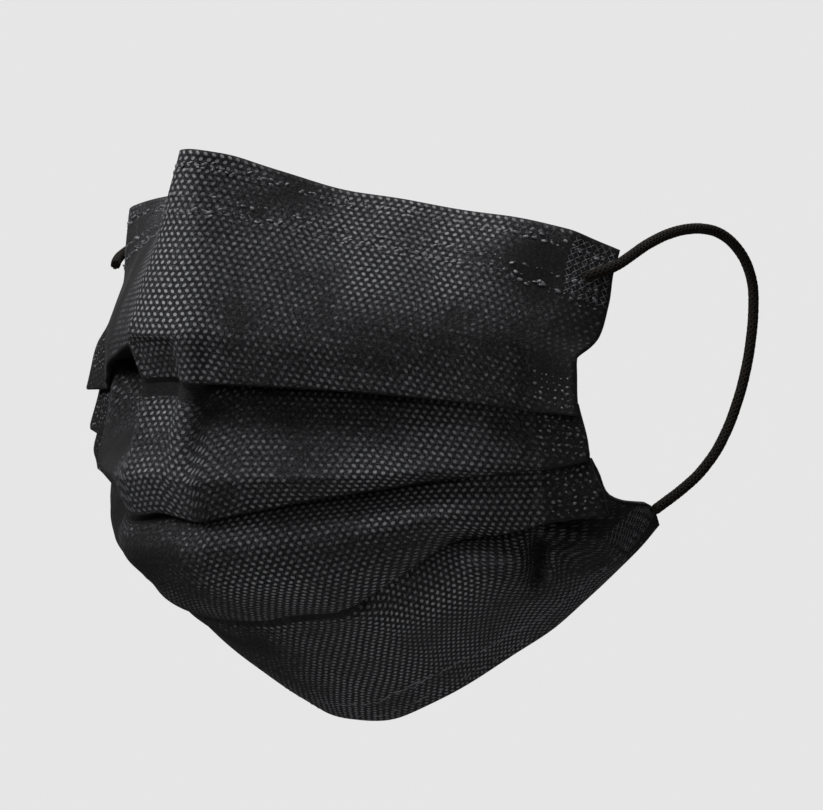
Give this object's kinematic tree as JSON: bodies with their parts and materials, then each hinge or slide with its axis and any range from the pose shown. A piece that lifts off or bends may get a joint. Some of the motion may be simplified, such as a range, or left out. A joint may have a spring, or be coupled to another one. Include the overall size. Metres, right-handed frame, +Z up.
{
  "type": "surgical mask",
  "caption": "Pleated black surgical mask in its worn shape, with a white inner face, pressed hems and side bands, and a round elastic ear loop on each side.",
  "frame": {"origin": "the inner side of the top edge at its middle, where the mask rests on the bridge of the nose", "axes": "+X towards the wearer's left, -Y ahead of the face, +Z up; the mask is symmetric across X apart from small folds of the cloth"},
  "size_m": [0.1346, 0.1118, 0.1187],
  "materials": {
    "outer_web": "point-bonded spunbond nonwoven, black, matt with small glossy bond points",
    "facing_web": "soft thermal-bonded nonwoven, white, matt",
    "elastic": "round knitted elastic, black, matt"
  },
  "bodies": {
    "root": {"cover": "outer_web", "inner_facing": "facing_web", "ear_loop_left": "elastic", "ear_loop_right": "elastic"}
  },
  "joints": []
}
